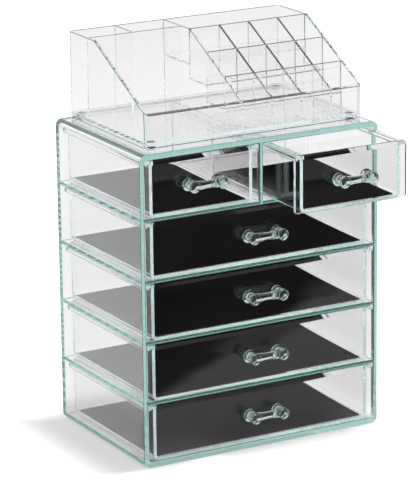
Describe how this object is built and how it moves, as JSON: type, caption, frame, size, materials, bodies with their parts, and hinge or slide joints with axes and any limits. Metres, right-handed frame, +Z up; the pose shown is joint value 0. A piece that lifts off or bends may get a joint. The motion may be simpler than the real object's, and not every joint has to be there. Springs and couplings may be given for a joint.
{
  "type": "cosmetics organizer with drawers",
  "caption": "Clear tall box with stacked sliding drawers, dumbbell pulls, black drawer sheets and a loose sloping tray with compartments on top.",
  "frame": {"origin": "centre of the case's underside, on the surface it stands on", "axes": "+X to the right as seen from the front, -Y towards the front where the drawers open, +Z up"},
  "size_m": [0.24, 0.227, 0.3618],
  "materials": {
    "clear": "clear polished acrylic with green-tinted edges",
    "liner": "matte black sheet"
  },
  "bodies": {
    "case": {"case_shell": "clear", "back_panel": "clear", "shelf_1": "clear", "shelf_2": "clear", "shelf_3": "clear", "shelf_4": "clear", "row_divider": "clear"},
    "drawer_small_left": {"drawer_small_left": "clear", "handle_small_left": "clear", "liner_small_left": "liner"},
    "drawer_small_right": {"drawer_small_right": "clear", "handle_small_right": "clear", "liner_small_right": "liner"},
    "drawer_wide_1": {"drawer_wide_1": "clear", "handle_wide_1": "clear", "liner_wide_1": "liner"},
    "drawer_wide_2": {"drawer_wide_2": "clear", "handle_wide_2": "clear", "liner_wide_2": "liner"},
    "drawer_wide_3": {"drawer_wide_3": "clear", "handle_wide_3": "clear", "liner_wide_3": "liner"},
    "drawer_wide_4": {"drawer_wide_4": "clear", "handle_wide_4": "clear", "liner_wide_4": "liner"},
    "tray": {"tray_shell": "clear", "tray_cross_wall": "clear", "tray_left_divider": "clear", "tray_main_divider": "clear", "lipstick_wall_rear": "clear", "lipstick_wall_middle": "clear", "lipstick_wall_front": "clear", "lipstick_fins_left": "clear", "lipstick_fins_middle": "clear", "lipstick_fins_right": "clear", "lipstick_floor_middle": "clear", "lipstick_floor_rear": "clear", "brush_floor": "clear", "tray_feet": "clear"}
  },
  "joints": [
    {"name": "small_left_slide", "type": "slide", "parent": "case", "child": "drawer_small_left", "axis": [0, -1, 0], "range_m": [0, 0.11]},
    {"name": "small_right_slide", "type": "slide", "parent": "case", "child": "drawer_small_right", "axis": [0, -1, 0], "range_m": [-0.054, 0.056]},
    {"name": "wide_1_slide", "type": "slide", "parent": "case", "child": "drawer_wide_1", "axis": [0, -1, 0], "range_m": [0, 0.11]},
    {"name": "wide_2_slide", "type": "slide", "parent": "case", "child": "drawer_wide_2", "axis": [0, -1, 0], "range_m": [0, 0.11]},
    {"name": "wide_3_slide", "type": "slide", "parent": "case", "child": "drawer_wide_3", "axis": [0, -1, 0], "range_m": [0, 0.11]},
    {"name": "wide_4_slide", "type": "slide", "parent": "case", "child": "drawer_wide_4", "axis": [0, -1, 0], "range_m": [0, 0.11]},
    {"name": "tray_lift", "type": "slide", "parent": "case", "child": "tray", "axis": [0, 0, 1], "range_m": [0, 0.1]}
  ]
}
